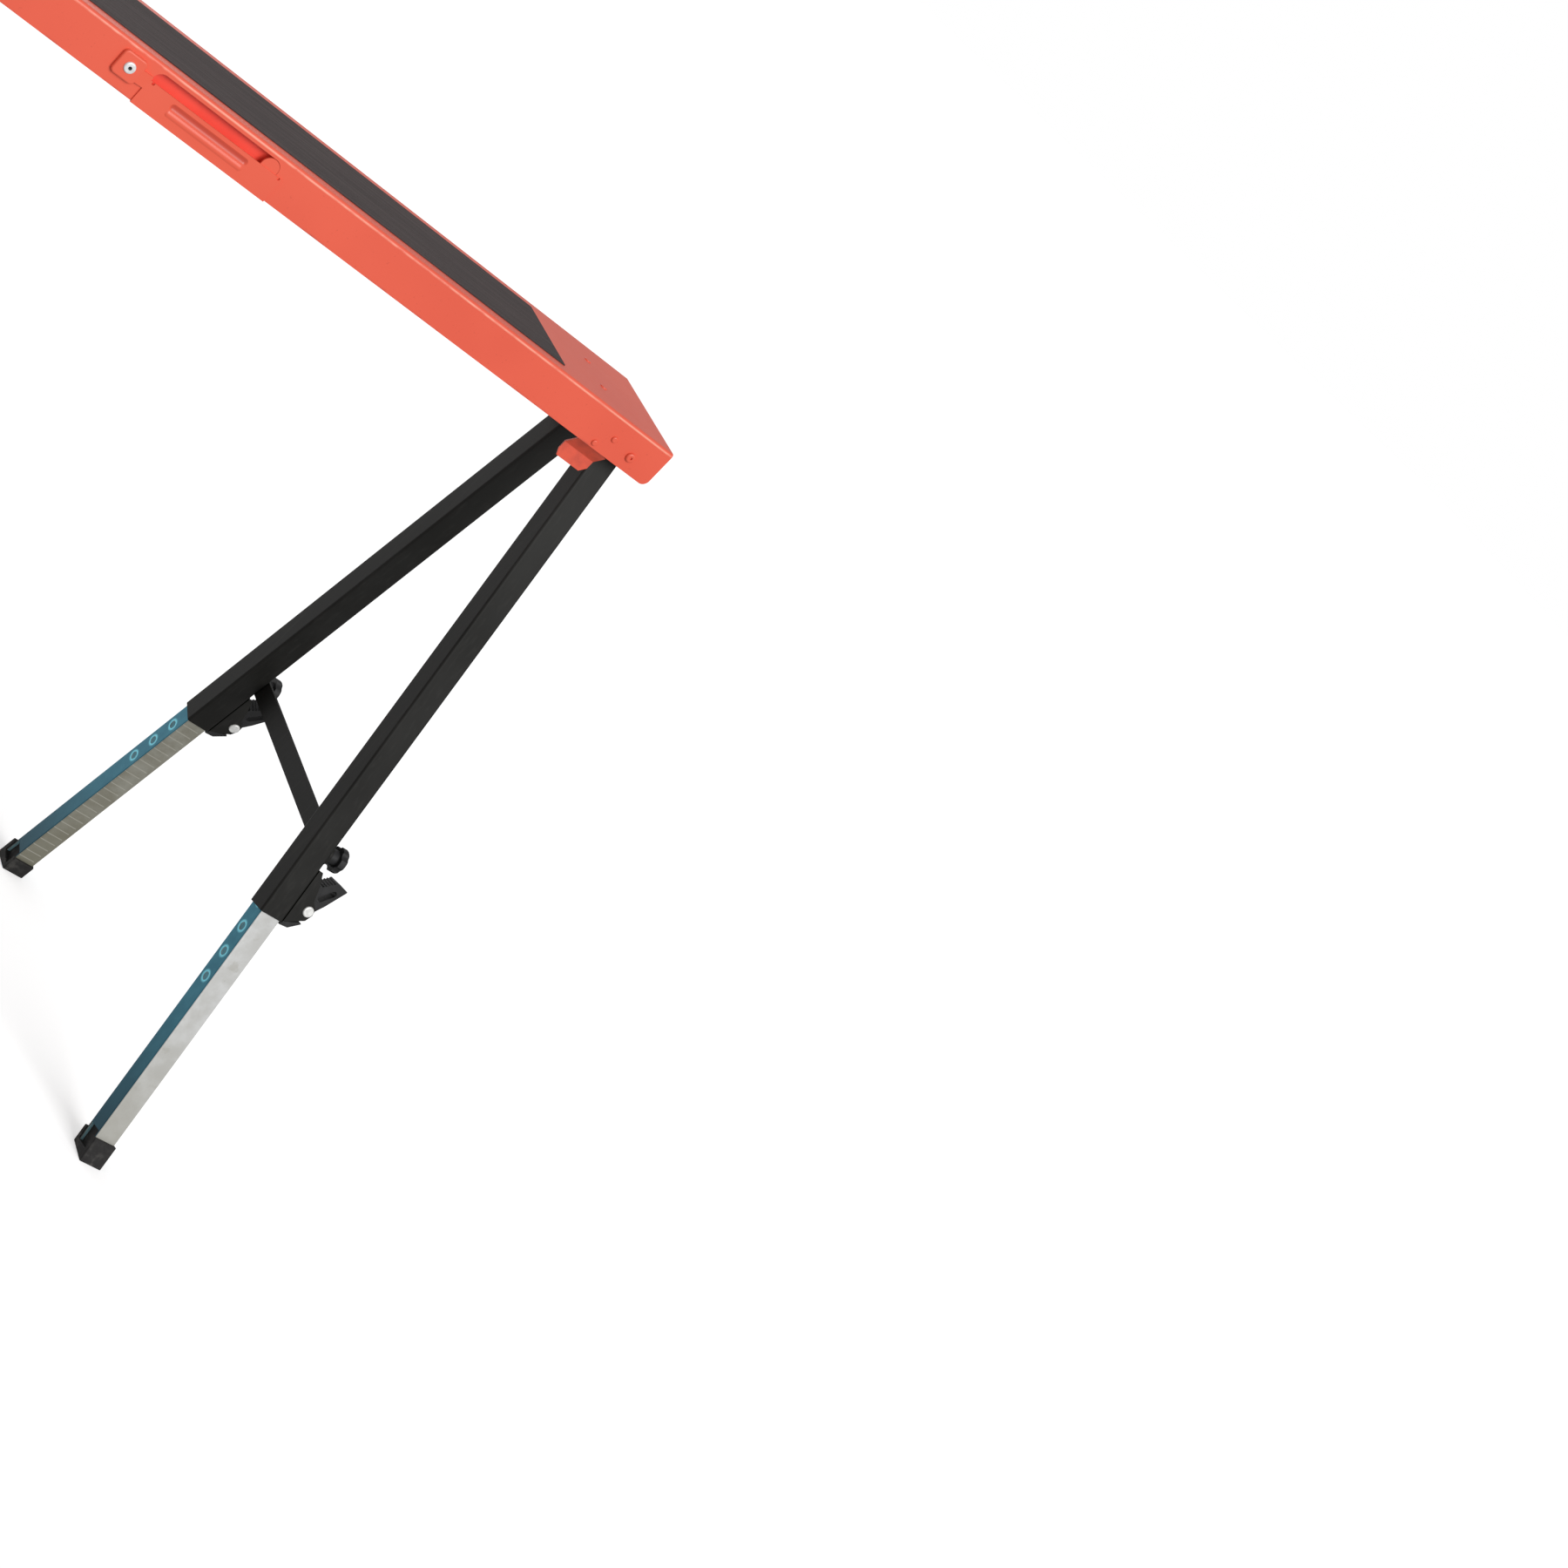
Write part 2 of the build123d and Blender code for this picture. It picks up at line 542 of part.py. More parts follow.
def clamp_rivet():
    side = TUBE / 2
    rivet = rod_y(CLAMP_PIN_RADIUS, -side, side, CLAMP_PIN_X, -CLAMP_PIN_AT)
    for sign, turn in ((-1, 90), (1, -90)):
        head = dome(CLAMP_HEAD_RADIUS, 1.5)
        rivet += Pos(CLAMP_PIN_X, sign * side, -CLAMP_PIN_AT) * Rot(turn, 0, 0) * head
    return rivet


def clamp_lever():
    """The cam lever: a wedge-shaped moulded arm with a long slot and a ribbed thumb edge."""
    half = LEVER_THICK / 2
    arm = fillet(along(plate_xz(LEVER_EDGE, -half, half), Axis.Y), 1.0)
    lever = arm + rod_y(LEVER_HUB, -half, half)
    (x0, z0), (x1, z1) = SLOT_ENDS
    across = Vector(z1 - z0, 0, x0 - x1).normalized() * (LEVER_SLOT / 2)
    slot = plate_xz(
        [
            (x0 + across.X, z0 + across.Z), (x1 + across.X, z1 + across.Z),
            (x1 - across.X, z1 - across.Z), (x0 - across.X, z0 - across.Z),
        ],
        -half - 1, half + 1,
    )
    for x, z in SLOT_ENDS:
        slot += rod_y(LEVER_SLOT / 2, -half - 1, half + 1, x, z)
    lever -= slot
    (x0, z0), (x1, z1) = LEVER_EDGE[4], LEVER_EDGE[3]
    for rib in range(1, LEVER_RIBS + 1):
        part = rib / (LEVER_RIBS + 1)
        lever -= rod_y(0.8, -half - 1, half + 1, x0 + (x1 - x0) * part, z0 + (z1 - z0) * part)
    lever -= rod_y(CLAMP_PIN_RADIUS + PIVOT_FIT, -half - 1, half + 1)
    return Pos(CLAMP_PIN_X, 0, -CLAMP_PIN_AT) * lever


# ---------------------------------------------------------------- brace
def brace_bar():
    """A flat bar that turns on the rear leg's stud and hooks over the front leg's."""
    drop = BRACE_AT * cos(radians(SPLAY))
    reach = BOLT_Y + BRACE_AT * sin(radians(SPLAY))
    z = HINGE_Z - drop
    x0, x1 = HINGE_X + BRACE_X, HINGE_X + BRACE_X + BRACE_THICKNESS
    half = BRACE_WIDTH / 2
    bar = box((x0, x1), (-reach - half, reach + half), (z - half, z + half))
    bar = fillet(along(bar, Axis.X), half * 0.9)
    bar -= rod_x(STUD_RADIUS + PIVOT_FIT, x0 - 1, x1 + 1, reach, z)
    width = STUD_RADIUS + NOTCH_GAP
    mouth = box((x0 - 1, x1 + 1), (-width, width), (-BRACE_WIDTH, 0)) + rod_x(width, x0 - 1, x1 + 1)
    return bar - Pos(0, -reach, z) * Rot(NOTCH_TILT, 0, 0) * mouth


# ---------------------------------------------------------------- release latch
def latch_lever():
    """A bent plate on a pin beside the leg: a sloped web, then an upright finger lip."""
    x1 = LATCH_X0 + LATCH_LENGTH
    barrel_x1 = LATCH_X0 + BARREL_LENGTH
    wall_y = LATCH_PIN_Y - LATCH_KNUCKLE
    knee_z = BEAM_TOP - BEAM_HEIGHT - 1.0
    lip_y = wall_y + LATCH_SLOPE
    lip_z = knee_z - LATCH_SLOPE
    tip_z = lip_z - LATCH_LIP
    bend = LATCH_SHEET * tan(radians(22.5))
    lever = plate_yz(
        [
            (wall_y, LATCH_PIN_Z), (wall_y, knee_z), (lip_y, lip_z), (lip_y, tip_z),
            (lip_y + LATCH_SHEET, tip_z), (lip_y + LATCH_SHEET, lip_z + bend),
            (wall_y + LATCH_SHEET, knee_z + bend), (wall_y + LATCH_SHEET, LATCH_PIN_Z),
        ],
        LATCH_X0, x1,
    )
    outline = plate_xz(
        [
            (LATCH_X0 + 3, tip_z), (x1 - 5, tip_z), (x1, tip_z + 6), (x1, knee_z - 1),
            (barrel_x1, knee_z + 1), (barrel_x1, LATCH_PIN_Z), (LATCH_X0, LATCH_PIN_Z), (LATCH_X0, tip_z + 6),
        ],
        -WALL_Y, 0,
    )
    lever = (lever & outline) + rod_x(LATCH_KNUCKLE, LATCH_X0, barrel_x1, LATCH_PIN_Y, LATCH_PIN_Z)
    return lever - rod_x(LATCH_PIN_RADIUS + PIVOT_FIT, LATCH_X0 - 1, x1, LATCH_PIN_Y, LATCH_PIN_Z)


def latch_pin():
    x0 = LATCH_X0 - SIDE_GAP - EAR_THICKNESS
    x1 = LATCH_X0 + BARREL_LENGTH + SIDE_GAP + EAR_THICKNESS
    return rod_x(LATCH_PIN_RADIUS, x0, x1, LATCH_PIN_Y, LATCH_PIN_Z)


# ---------------------------------------------------------------- write every piece
def copies(shape):
    return [quarter(shape, end, side) for end, side in QUARTERS]


write(beam_shell(), "beam_shell")
write(grip_strip(), "grip_strip")
write(carry_handle(), "carry_handle")
write(handle_rivet(), "handle_rivet")
write(handle_guard(), "handle_guard")
write_group(copies(hinge_pin()), "hinge_pins")
write_group([r for piece in saddle_rivets() for r in copies(piece)], "saddle_rivets")
write_group(copies(latch_pin()), "latch_pins")

for end in ("right", "left"):
    write(quarter(hinge_saddle(), end, "front"), f"hinge_saddle_{end}")
    write(quarter(hinge_yoke(), end, "front"), f"hinge_yoke_{end}")
    bolts = [quarter(splay_bolt(), end, side) for side in ("front", "rear")]
    write_group(bolts, f"splay_bolts_{end}")
    write(quarter(brace_bar(), end, "front"), f"brace_bar_{end}")

FLOOR = box((-2 * BEAM_LENGTH, 2 * BEAM_LENGTH), (-BEAM_LENGTH, BEAM_LENGTH), (-200, 0))
LEG_PIECES = {
    "leg_tube": on_leg(leg_tube()),
    "guide_collar": on_leg(guide_collar()),
    "clamp_bracket": on_leg(clamp_bracket()),
    "clamp_rivet": on_leg(clamp_rivet()),
    "clamp_lever": on_leg(clamp_lever()),
    "brace_stud": on_leg(brace_stud()),
    "brace_knob": on_leg(brace_knob()),
    "inner_leg": on_leg(inner_leg()),
    "foot_boot": on_leg(foot_boot()) - FLOOR,
    "latch_lever": latch_lever(),
}
for name, piece in LEG_PIECES.items():
    for end, side in QUARTERS:
        write(quarter(piece, end, side), f"{name}_{end}_{side}")
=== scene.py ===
import json
from math import cos, radians, sin

import bmesh
import bpy
from mathutils import Euler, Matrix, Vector


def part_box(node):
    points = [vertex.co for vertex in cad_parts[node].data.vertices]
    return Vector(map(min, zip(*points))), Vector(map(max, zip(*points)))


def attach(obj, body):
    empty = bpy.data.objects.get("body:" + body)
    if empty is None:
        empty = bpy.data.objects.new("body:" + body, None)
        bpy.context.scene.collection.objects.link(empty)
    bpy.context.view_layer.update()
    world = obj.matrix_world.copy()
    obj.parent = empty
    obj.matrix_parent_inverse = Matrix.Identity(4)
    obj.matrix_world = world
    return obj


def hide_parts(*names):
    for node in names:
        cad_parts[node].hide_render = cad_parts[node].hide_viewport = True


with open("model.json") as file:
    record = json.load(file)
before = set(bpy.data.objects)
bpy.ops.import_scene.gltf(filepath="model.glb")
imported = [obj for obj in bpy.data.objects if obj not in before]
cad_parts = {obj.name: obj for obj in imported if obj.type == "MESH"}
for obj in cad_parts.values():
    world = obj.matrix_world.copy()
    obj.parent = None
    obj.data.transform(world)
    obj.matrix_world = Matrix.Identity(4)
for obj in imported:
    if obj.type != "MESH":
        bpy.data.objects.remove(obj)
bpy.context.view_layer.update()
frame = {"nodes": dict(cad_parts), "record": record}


# Beam: a pressed sheet-steel channel, riveted to a saddle inside each end and then powder
# coated red-orange all over. The coat has a fine orange peel and is dirty and darker in places
# at its lower edges. A paler line along the front fold is a painted highlight, broken up by
# noise.
class Signal:
    """A shader socket, so that a finish can be written as sums and products."""

    def __init__(self, tree, socket):
        self.tree = tree
        self.socket = socket

    def node(self, kind, settings=None, inputs=None, output=0):
        """Adds a node, applies its settings, then feeds its sockets with values or signals."""
        made = self.tree.nodes.new(kind)
        for name, value in (settings or {}).items():
            setattr(made, name, value)
        for name, value in (inputs or {}).items():
            if isinstance(value, Signal):
                self.tree.links.new(value.socket, made.inputs[name])
            else:
                made.inputs[name].default_value = value
        return Signal(self.tree, made.outputs[output])

    def math(self, operation, *values):
        return self.node("ShaderNodeMath", {"operation": operation}, dict(enumerate(values)))

    def __add__(self, other):
        return self.math("ADD", self, other)

    def __radd__(self, other):
        return self.math("ADD", other, self)

    def __sub__(self, other):
        return self.math("SUBTRACT", self, other)

    def __rsub__(self, other):
        return self.math("SUBTRACT", other, self)

    def __mul__(self, other):
        return self.math("MULTIPLY", self, other)

    def __rmul__(self, other):
        return self.math("MULTIPLY", other, self)

    def __truediv__(self, other):
        return self.math("DIVIDE", self, other)

    def __gt__(self, other):
        return self.math("GREATER_THAN", self, other)

    def __lt__(self, other):
        return self.math("LESS_THAN", self, other)

    def __abs__(self):
        return self.math("ABSOLUTE", self)

    def __mod__(self, other):
        return self.math("FLOORED_MODULO", self, other)

    def noise(self, scale, detail=3.0, roughness=0.5):
        sizes = {"Vector": self, "Scale": scale, "Detail": detail, "Roughness": roughness}
        return self.node("ShaderNodeTexNoise", None, sizes)

    def stretched(self, x, y, z):
        """The point scaled by axis, for streaks that run along a piece."""
        return self.node("ShaderNodeMapping", None, {"Vector": self, "Scale": (x, y, z)})

    def fade(self, low, high):
        """0 below low, 1 above high, smooth between."""
        ends = {"Value": self, "From Min": low, "From Max": high}
        return self.node("ShaderNodeMapRange", {"interpolation_type": "SMOOTHSTEP"}, ends)

    def tint(self, under, over):
        """A colour between under, where this signal is 0, and over, where it is 1."""
        first_colour, second_colour, mixed_colour = 6, 7, 2
        sockets = {"Factor": self}
        for place, colour in ((first_colour, under), (second_colour, over)):
            sockets[place] = colour if isinstance(colour, Signal) else (*colour, 1.0)
        return self.node("ShaderNodeMix", {"data_type": "RGBA"}, sockets, mixed_colour)

    def axes(self):
        parts = self.node("ShaderNodeSeparateXYZ", None, {0: self})
        return [Signal(self.tree, parts.socket.node.outputs[name]) for name in "XYZ"]

    def bump(self, strength, distance):
        """A bumped normal from this signal taken as a height."""
        sizes = {"Height": self, "Strength": strength, "Distance": distance}
        return self.node("ShaderNodeBump", None, sizes)


def finish(name, **fixed):
    """A material with its fixed values set: returns it, its shader and the point being shaded."""
    material = bpy.data.materials.new(name)
    material.use_nodes = True
    tree = material.node_tree
    shader = tree.nodes["Principled BSDF"]
    for socket, value in fixed.items():
        shader.inputs[socket.replace("_", " ")].default_value = value
    where = tree.nodes.new("ShaderNodeTexCoord")
    return material, shader, Signal(tree, where.outputs["Object"])


def feed(shader, **signals):
    """Links what changes over the surface to the shader."""
    for socket, signal in signals.items():
        signal.tree.links.new(signal.socket, shader.inputs[socket.replace("_", " ")])


def piece_from(mesh, name, material, slot, body, *stands_for):
    """Makes a finished mesh a piece of the model that rides on a body."""
    data = bpy.data.meshes.new(name)
    mesh.to_mesh(data)
    mesh.free()
    data.materials.append(material)
    piece = bpy.data.objects.new(name, data)
    bpy.context.scene.collection.objects.link(piece)
    if stands_for:
        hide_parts(*stands_for)
    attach(piece, body)
    return piece


SAME_POINT = 0.000002
FLAT_WITHIN = radians(0.6)
SHARP_FROM = radians(32)
BODY_OF = {
    node: body
    for body, nodes in frame["record"]["behaviour"]["bodies"].items()
    for node in nodes
}


def eased(node, width, slot, material, segments=2):
    """A copy of a part with its flat faces made whole and its edges rounded over."""
    mesh = bmesh.new()
    mesh.from_mesh(frame["nodes"][node].data)
    bmesh.ops.remove_doubles(mesh, verts=mesh.verts, dist=SAME_POINT)
    bmesh.ops.dissolve_limit(
        mesh, angle_limit=FLAT_WITHIN, use_dissolve_boundaries=False,
        verts=mesh.verts, edges=mesh.edges,
    )
    bmesh.ops.recalc_face_normals(mesh, faces=mesh.faces)
    for face in mesh.faces:
        face.smooth = True
    piece = piece_from(mesh, f"{node}_eased", material, slot, BODY_OF[node], node)
    rounding = piece.modifiers.new("rounding", "BEVEL")
    rounding.width = width
    rounding.segments = segments
    rounding.limit_method = "ANGLE"
    rounding.angle_limit = SHARP_FROM
    flattening = piece.modifiers.new("flattening", "WEIGHTED_NORMAL")
    flattening.weight = 100
    return piece


BEAM_LOW, BEAM_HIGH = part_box("beam_shell")
FOLD_LINE_DROP = 0.0026
RED, LIGHT_RED = (0.75, 0.098, 0.051), (0.80, 0.112, 0.059)
red_coat, shader, point = finish("red_powder_coat", Coat_Weight=0.1, Coat_Roughness=0.3)
_, y, z = point.axes()
clouds = point.noise(7.0, 2.0)
peel = point.noise(700.0, 2.0)
specks = point.noise(420.0, 1.0).fade(0.70, 0.78)
worn = point.noise(38.0, 4.0, 0.6)
fold_top = 1.0 - abs(BEAM_HIGH.z - FOLD_LINE_DROP - z).fade(0.0003, 0.0011)
fold_front = 1.0 - abs(y - BEAM_LOW.y).fade(0.0004, 0.0016)
lower_edge = 1.0 - (z - BEAM_LOW.z).fade(0.0, 0.0022)
colour = clouds.fade(0.3, 0.7).tint(RED, LIGHT_RED)
colour = (specks * 0.25).tint(colour, (0.45, 0.05, 0.03))
# A paler line along the front fold: a painted highlight, broken up by noise.
painted_fold_highlight = fold_top * fold_front * worn.fade(0.3, 0.6) * 0.65
colour = painted_fold_highlight.tint(colour, (0.95, 0.42, 0.30))
colour = (lower_edge * worn.fade(0.45, 0.7) * 0.5).tint(colour, (0.35, 0.05, 0.035))
feed(
    shader, Base_Color=colour, Roughness=0.37 + 0.05 * point.noise(60.0),
    Normal=peel.bump(0.10, 0.0004),
)

for node in ("beam_shell", "hinge_saddle_right", "hinge_saddle_left"):
    eased(node, 0.0004, "beam_red", red_coat)


def coat(node, material):
    """Gives a part its finish and leaves its shape alone."""
    for place in frame["nodes"][node].material_slots:
        place.material = material


coat("saddle_rivets", red_coat)
coat("hinge_pins", red_coat)


# Carry handle: one strip of sheet, riveted to the beam at its pad and pressed with a long
# bead so that it is stiff. A darker red is painted in the bead's groove as shade. The bent guard
# behind it keeps the fingers off the folded legs, and its coat is painted a brighter, purer red
# than the beam, standing in for red light bounced inside the handle's recess.
GRIP_SHEET = 0.0015
GROOVE_TOP, GROOVE_FOOT = (0.0185, 0.0200), (0.0250, 0.0262)
GROOVE_DEPTH = (0.0003, 0.0014)
grip_coat, shader, point = finish("grip_coat", Coat_Weight=0.1, Coat_Roughness=0.3)
_, y, z = point.axes()
clouds = point.noise(7.0, 2.0)
below_top = BEAM_HIGH.z - z
# A darker red in the bead's groove: painted shade.
painted_groove_shade = (y - (BEAM_LOW.y - GRIP_SHEET)).fade(*GROOVE_DEPTH) * below_top.fade(*GROOVE_TOP)
painted_groove_shade = painted_groove_shade * (1.0 - below_top.fade(*GROOVE_FOOT))
colour = clouds.fade(0.3, 0.7).tint(RED, LIGHT_RED)
colour = (painted_groove_shade * 0.75).tint(colour, (0.50, 0.050, 0.028))
feed(shader, Base_Color=colour, Roughness=0.37 + 0.05 * point.noise(60.0))
eased("carry_handle", 0.0004, "beam_red", grip_coat, 3)
# The guard's coat is a brighter, purer red than the beam, painted to stand in for red light
# bounced inside the handle's recess.
guard_coat_painted_bounce, shader, point = finish("guard_coat_painted_bounce", Coat_Weight=0.1, Coat_Roughness=0.3)
colour = point.noise(25.0, 3.0).fade(0.3, 0.7).tint((0.90, 0.062, 0.036), (0.95, 0.078, 0.046))
feed(shader, Base_Color=colour, Roughness=0.42 + 0.1 * point.noise(60.0))
eased("handle_guard", 0.0004, "beam_red", guard_coat_painted_bounce)


# Release latches: bent sheet-steel plates, each on its own pin beside a leg. They are coated
# in the same red as the beam.
ENDS = ("right", "left")
SIDES = ("front", "rear")
QUARTERS = [f"{end}_{side}" for end in ENDS for side in SIDES]
for quarter in QUARTERS:
    eased(f"latch_lever_{quarter}", 0.0003, "beam_red", red_coat)


# Grip strip: a dark rubbery sheet bonded to the beam's top, so that the work doesn't slide.
# Its face has a fine even grain and faint lengthways rubbing marks.
strip_rubber, shader, point = finish("strip_rubber", Specular_IOR_Level=0.2)
grain = point.noise(1700.0, 2.0)
rubbed = point.stretched(2.0, 60.0, 1.0).noise(6.0, 4.0)
colour = rubbed.fade(0.35, 0.75).tint((0.046, 0.034, 0.034), (0.072, 0.054, 0.053))
feed(shader, Base_Color=colour, Roughness=0.60 + 0.2 * grain, Normal=grain.bump(0.35, 0.0003))
eased("grip_strip", 0.0003, "strip_rubber", strip_rubber)


# Legs, hinge yokes, braces and clamp brackets: square tube and flat bar in satin black
# enamel, with faint long streaks from the tube mill and patches of dust. They are painted paler
# towards the top, near the hinges, as light that falls off down the legs.
PAINTED_LIGHT_FROM, PAINTED_LIGHT_TO = 0.50, 0.76
black_enamel, shader, point = finish("black_enamel", Specular_IOR_Level=0.17)
peel = point.noise(600.0, 2.0)
streak = point.stretched(140.0, 140.0, 3.0).noise(2.0, 4.0)
dust = point.noise(14.0, 4.0)
colour = dust.fade(0.35, 0.75).tint((0.0085, 0.0083, 0.0072), (0.0155, 0.0152, 0.0140))
colour = (streak.fade(0.5, 0.8) * 0.3).tint(colour, (0.036, 0.035, 0.032))
_, _, z = point.axes()
# Paler towards the top: painted light that falls off down the legs.
colour = (z.fade(PAINTED_LIGHT_FROM, PAINTED_LIGHT_TO) * 0.5).tint(colour, (0.034, 0.034, 0.032))
feed(shader, Base_Color=colour, Roughness=0.46 + 0.08 * dust, Normal=peel.bump(0.06, 0.0004))
for end in ENDS:
    eased(f"hinge_yoke_{end}", 0.0004, "leg_black", black_enamel)
    eased(f"brace_bar_{end}", 0.0005, "leg_black", black_enamel)
for quarter in QUARTERS:
    eased(f"leg_tube_{quarter}", 0.0003, "leg_black", black_enamel)
    eased(f"clamp_bracket_{quarter}", 0.0004, "leg_black", black_enamel)


# Inner legs: zinc-plated channel. The plating is a soft mottled white-grey on the flanges and a
# blue passivated tint on the web and inside, all painted darker towards the foot as shade. The
# web is also painted much darker than the flanges as shade, and the inside a light cyan and the
# height holes ringed in bright cyan as painted glints. One flange is stamped with centimetre
# marks.
LEAN = radians(13.75)
BOLT_Y, BOLT_Z = 0.0295, 0.7544
HALF_CHANNEL = 0.0105
CHANNEL_X = 0.549
INSIDE_DEPTH = 0.0012
FOOT_FROM, FOOT_TO = 0.58, 0.80
LOWEST_HOLE = 0.58766
HOLE_PITCH = 0.0268
HOLE_RING = 0.0072
MARK_PITCH = 0.010
MARK_WIDTH = 0.0010
MARK_END = 0.0075
zinc, shader, point = finish("zinc_plate")
x, y, z = point.axes()
leg_y = abs(y) - BOLT_Y
leg_z = BOLT_Z - z
down = leg_y * sin(LEAN) + leg_z * cos(LEAN)
across = leg_y * cos(LEAN) - leg_z * sin(LEAN)
from_centre = abs(x) - CHANNEL_X
# Darker towards the foot on flanges and web: painted shade.
painted_foot_shade = down.fade(FOOT_FROM, FOOT_TO)
mottle = point.noise(55.0, 5.0, 0.6)
fine = point.noise(420.0, 2.0)
drawn = point.stretched(160.0, 160.0, 4.0).noise(2.0, 3.0)
flange = mottle.fade(0.35, 0.7).tint((0.47, 0.47, 0.455), (0.55, 0.555, 0.55))
flange = (point.noise(90.0, 3.0).fade(0.6, 0.72) * 0.4).tint(flange, (0.33, 0.32, 0.28))
flange = (painted_foot_shade * 0.75).tint(flange, (0.31, 0.30, 0.255))
# The web is painted much darker than the flanges, as shade, on top of its blue passivated tint.
web = mottle.fade(0.3, 0.75).tint((0.036, 0.180, 0.255), (0.058, 0.240, 0.325))
web = painted_foot_shade.tint(web, (0.018, 0.062, 0.088))
along = ((LOWEST_HOLE - down) / HOLE_PITCH + 0.5) % 1.0
along = (along - 0.5) * HOLE_PITCH
# Bright cyan rings round the height holes: painted glints.
painted_hole_glint = 1.0 - (along * along + across * across).fade(0.35 * HOLE_RING ** 2, HOLE_RING ** 2)
painted_hole_glint = painted_hole_glint * (down < LOWEST_HOLE + HOLE_PITCH / 2)
web = (painted_hole_glint * 0.85).tint(web, (0.27, 0.82, 0.96))
on_web = from_centre < -HALF_CHANNEL + 0.0004
inner_face = HALF_CHANNEL - INSIDE_DEPTH
inside = (abs(across) < inner_face) * (from_centre > -inner_face)
colour = on_web.tint(flange, web)
on_scale = across < -HALF_CHANNEL + 0.0005
tan_flange = mottle.fade(0.3, 0.7).tint((0.26, 0.25, 0.20), (0.34, 0.335, 0.285))
tan_flange = (painted_foot_shade * 0.7).tint(tan_flange, (0.19, 0.18, 0.125))
colour = (on_scale * (1.0 - on_web)).tint(colour, tan_flange)
mark = ((down / MARK_PITCH) % 1.0) < MARK_WIDTH / MARK_PITCH
marked = mark * on_scale * (from_centre < MARK_END) * (1.0 - on_web)
colour = (marked * 0.55).tint(colour, (0.55, 0.54, 0.47))
# The inside is painted a light cyan, as painted light seen through the holes.
colour = inside.tint(colour, (0.40, 0.66, 0.73))
height = fine * 0.25 + drawn * 0.3 - marked * 0.8
feed(
    shader, Base_Color=colour, Metallic=0.35 + 0.45 * on_web, Roughness=0.38 + 0.12 * mottle,
    Normal=height.bump(0.15, 0.0004),
)
for quarter in QUARTERS:
    eased(f"inner_leg_{quarter}", 0.0003, "galvanised", zinc)


# Clamp levers, brace knobs and collars: moulded black plastic. The mould's fine spark-eroded
# grain is on every face, and handling has left it uneven in gloss.
black_plastic, shader, point = finish("black_plastic", Specular_IOR_Level=0.3)
grain = point.noise(1500.0, 2.0)
handled = point.noise(90.0, 3.0)
colour = handled.fade(0.4, 0.7).tint((0.010, 0.010, 0.0105), (0.019, 0.019, 0.020))
feed(shader, Base_Color=colour, Roughness=0.40 + 0.2 * handled, Normal=grain.bump(0.2, 0.0003))
for quarter in QUARTERS:
    eased(f"guide_collar_{quarter}", 0.0004, "black_plastic", black_plastic)
    eased(f"clamp_lever_{quarter}", 0.0008, "black_plastic", black_plastic)
    eased(f"brace_knob_{quarter}", 0.0007, "black_plastic", black_plastic)


# Boots: moulded black rubber on the ends of the inner legs. Their soles are cut level with
# the floor, and they are scuffed grey low down.
SCUFF_FROM, SCUFF_TO = 0.002, 0.022
boot_rubber, shader, point = finish("boot_rubber", Specular_IOR_Level=0.25)
_, _, z = point.axes()
grain = point.noise(1300.0, 3.0)
scuff = point.noise(110.0, 5.0, 0.6)
low = 1.0 - z.fade(SCUFF_FROM, SCUFF_TO)
colour = scuff.fade(0.35, 0.7).tint((0.014, 0.013, 0.013), (0.028, 0.027, 0.026))
colour = (scuff.fade(0.5, 0.65) * low * 0.6).tint(colour, (0.075, 0.07, 0.065))
feed(shader, Base_Color=colour, Roughness=0.55 + 0.2 * scuff, Normal=grain.bump(0.25, 0.0004))
for quarter in QUARTERS:
    eased(f"foot_boot_{quarter}", 0.0007, "boot_rubber", boot_rubber)


# Clamp rivets and latch pins are zinc-plated steel, and bolts and studs are blackened steel.
# The handle is held by a pop rivet, whose drawn-out stem leaves a hole in its head; the hole is
# painted near-black, as shade.
RIVET_HOLE = (0.0012, 0.0018)
rivet_steel, shader, point = finish("rivet_steel", Metallic=0.4)
brushed = point.noise(320.0, 3.0)
colour = brushed.fade(0.3, 0.7).tint((0.66, 0.66, 0.64), (0.80, 0.80, 0.78))
feed(shader, Base_Color=colour, Roughness=0.28 + 0.2 * brushed, Normal=brushed.bump(0.1, 0.0003))
bolt_steel, shader, point = finish("bolt_steel", Metallic=0.8)
brushed = point.noise(320.0, 3.0)
colour = brushed.fade(0.3, 0.7).tint((0.05, 0.05, 0.053), (0.10, 0.10, 0.105))
feed(shader, Base_Color=colour, Roughness=0.35 + 0.2 * brushed)
low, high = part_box("handle_rivet")
middle = (low + high) / 2
holed, shader, point = finish("holed_rivet", Metallic=0.3)
x, _, z = point.axes()
brushed = point.noise(320.0, 3.0)
from_axis = (x - middle.x) * (x - middle.x) + (z - middle.z) * (z - middle.z)
colour = brushed.fade(0.3, 0.7).tint((0.70, 0.70, 0.70), (0.84, 0.84, 0.84))
# The rivet's hole is painted near-black, as shade.
painted_hole_shade = 1.0 - from_axis.fade(*[radius ** 2 for radius in RIVET_HOLE])
colour = painted_hole_shade.tint(colour, (0.03, 0.03, 0.035))
feed(shader, Base_Color=colour, Roughness=0.28 + 0.2 * brushed)
coat("handle_rivet", holed)
coat("latch_pins", rivet_steel)
for end in ENDS:
    coat(f"splay_bolts_{end}", bolt_steel)
for quarter in QUARTERS:
    coat(f"clamp_rivet_{quarter}", rivet_steel)
    coat(f"brace_stud_{quarter}", bolt_steel)


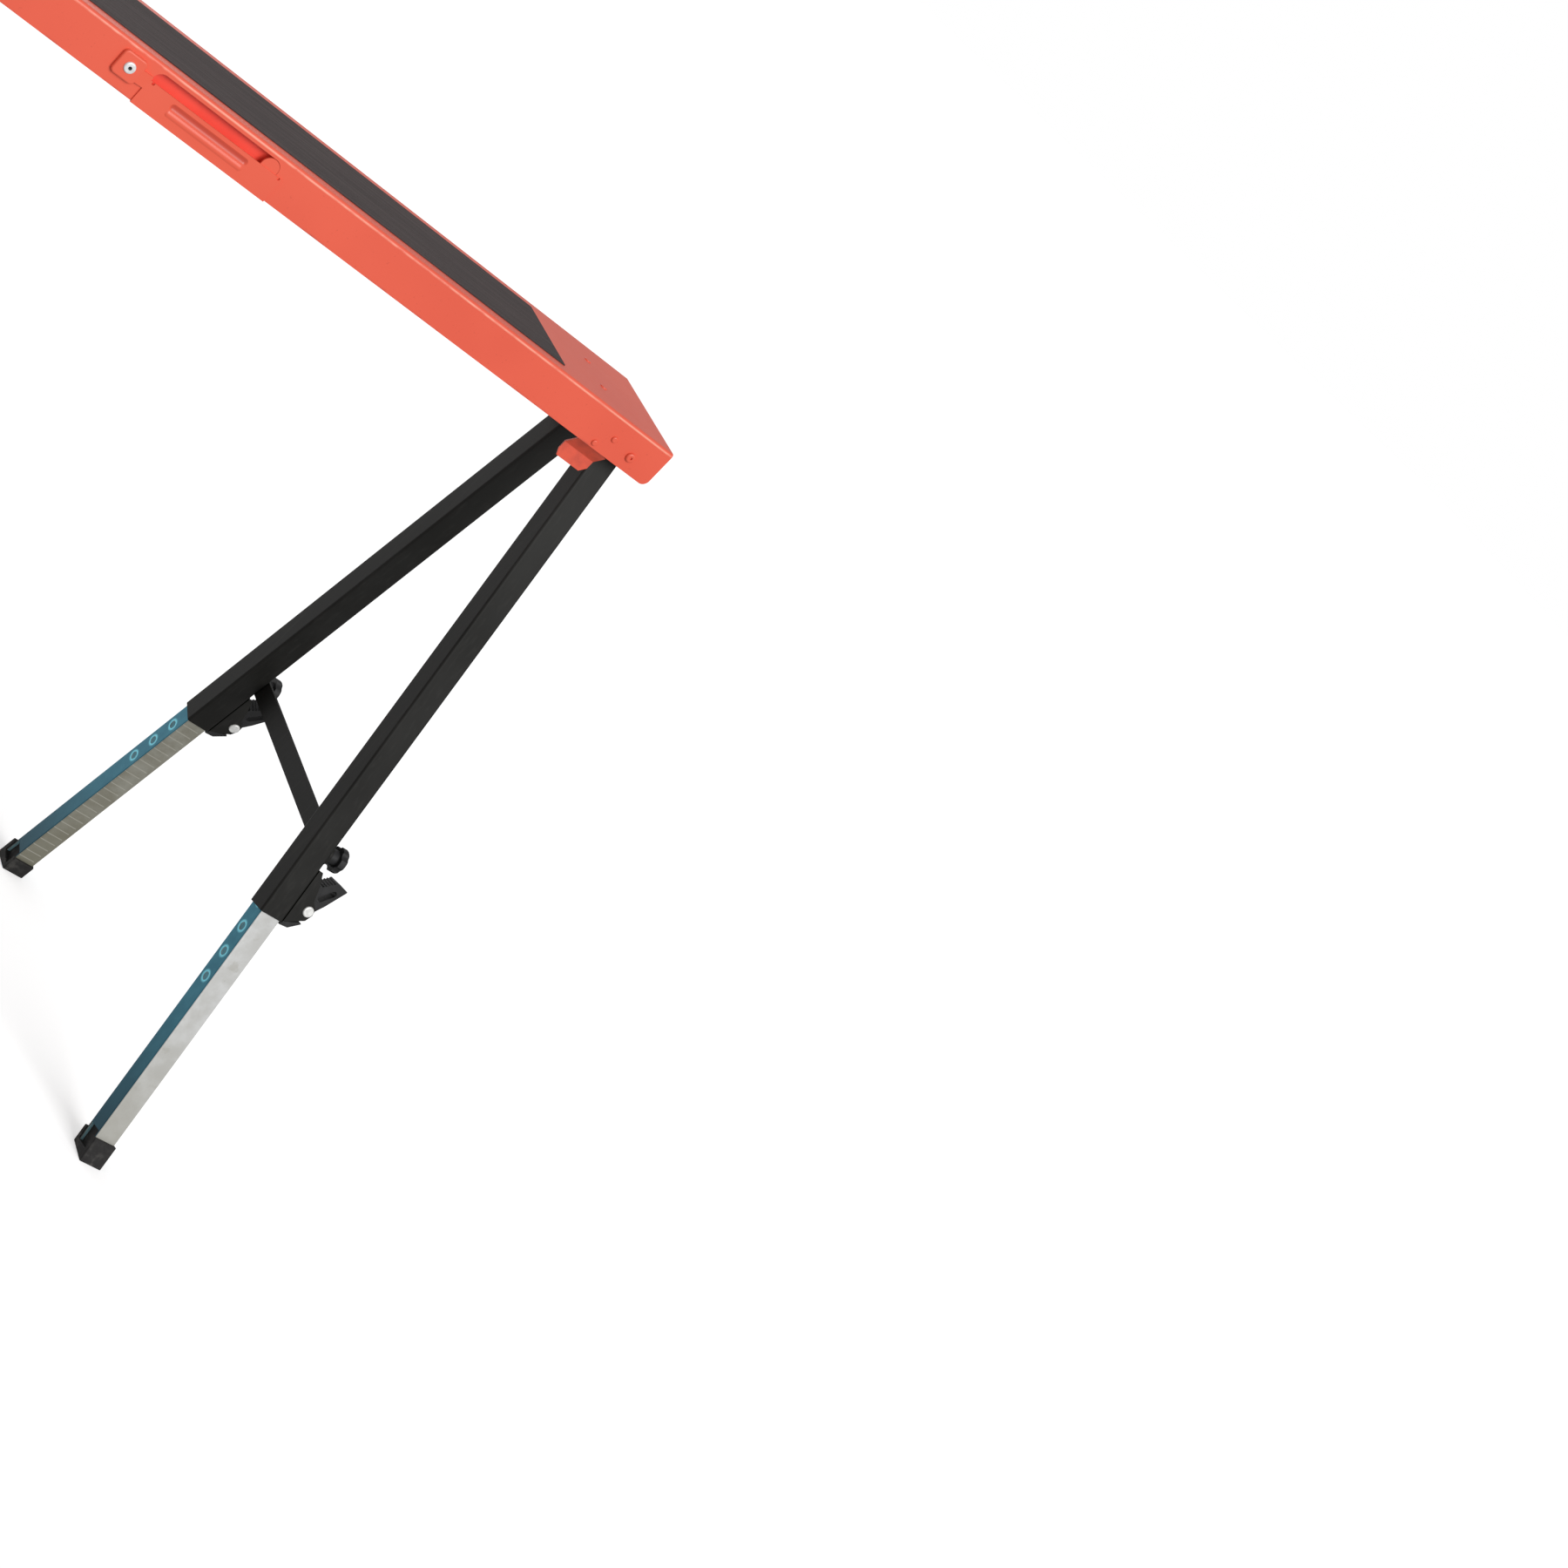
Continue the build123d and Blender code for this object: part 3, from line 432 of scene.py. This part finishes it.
# Floor: a plain pale sheet, a little self-lit so that it stays even out to the horizon. It
# takes the object's shadow, but it is left out of the light and reflections on the object.
FLOOR_SIZE = 60.0
FLOOR_LIFT = 0.42
pale, _, _ = finish(
    "pale_floor", Base_Color=(0.80, 0.80, 0.80, 1.0), Roughness=1.0, Specular_IOR_Level=0.0,
    Emission_Color=(1.0, 1.0, 1.0, 1.0), Emission_Strength=FLOOR_LIFT,
)
mesh = bmesh.new()
bmesh.ops.create_grid(mesh, x_segments=1, y_segments=1, size=FLOOR_SIZE / 2)
data = bpy.data.meshes.new("floor")
mesh.to_mesh(data)
mesh.free()
data.materials.append(pale)
floor = bpy.data.objects.new("floor", data)
floor.visible_diffuse = False
floor.visible_glossy = False
bpy.context.scene.collection.objects.link(floor)


# Soft studio light: a white surround, which looks brighter than the light it gives, one broad
# key lamp that shines down from the handle's side, and a weak fill low behind.
SURROUND = 0.42
world = bpy.data.worlds.new("studio")
bpy.context.scene.world = world
world.use_nodes = True
backdrop = world.node_tree.nodes["Background"]
backdrop.inputs["Color"].default_value = (1.0, 1.0, 1.0, 1.0)
light_path = world.node_tree.nodes.new("ShaderNodeLightPath")
seen = Signal(world.node_tree, light_path.outputs["Is Camera Ray"])
feed(backdrop, Strength=seen * (1.0 - SURROUND) + SURROUND)
bpy.context.scene.view_settings.view_transform = "Standard"


def lamp(name, comes_from, power, spread):
    """A distant lamp: where it shines from, its power, and how broad it looks, in degrees."""
    light = bpy.data.lights.new(name, "SUN")
    light.energy = power
    light.angle = radians(spread)
    stand = bpy.data.objects.new(name, light)
    stand.rotation_euler = Vector(comes_from).to_track_quat("Z", "Y").to_euler()
    bpy.context.scene.collection.objects.link(stand)


lamp("key", (0.16, -0.86, 0.44), 2.3, 35)
lamp("fill", (-0.20, 0.95, 0.12), 1.0, 70)


# Camera: it stands off the handle's side, beyond the left end and half a metre above the beam,
# looks past the right end, and is rolled over by about 45 degrees.
lens = bpy.data.cameras.new("camera")
lens.lens = 78.32
lens.sensor_width = 36.0
lens.clip_end = 100.0
camera = bpy.data.objects.new("camera", lens)
camera.location = (-1.0443, -2.4637, 1.2929)
camera.rotation_euler = Euler([radians(angle) for angle in (72.277, -43.815, -26.960)])
bpy.context.scene.collection.objects.link(camera)
bpy.context.scene.camera = camera
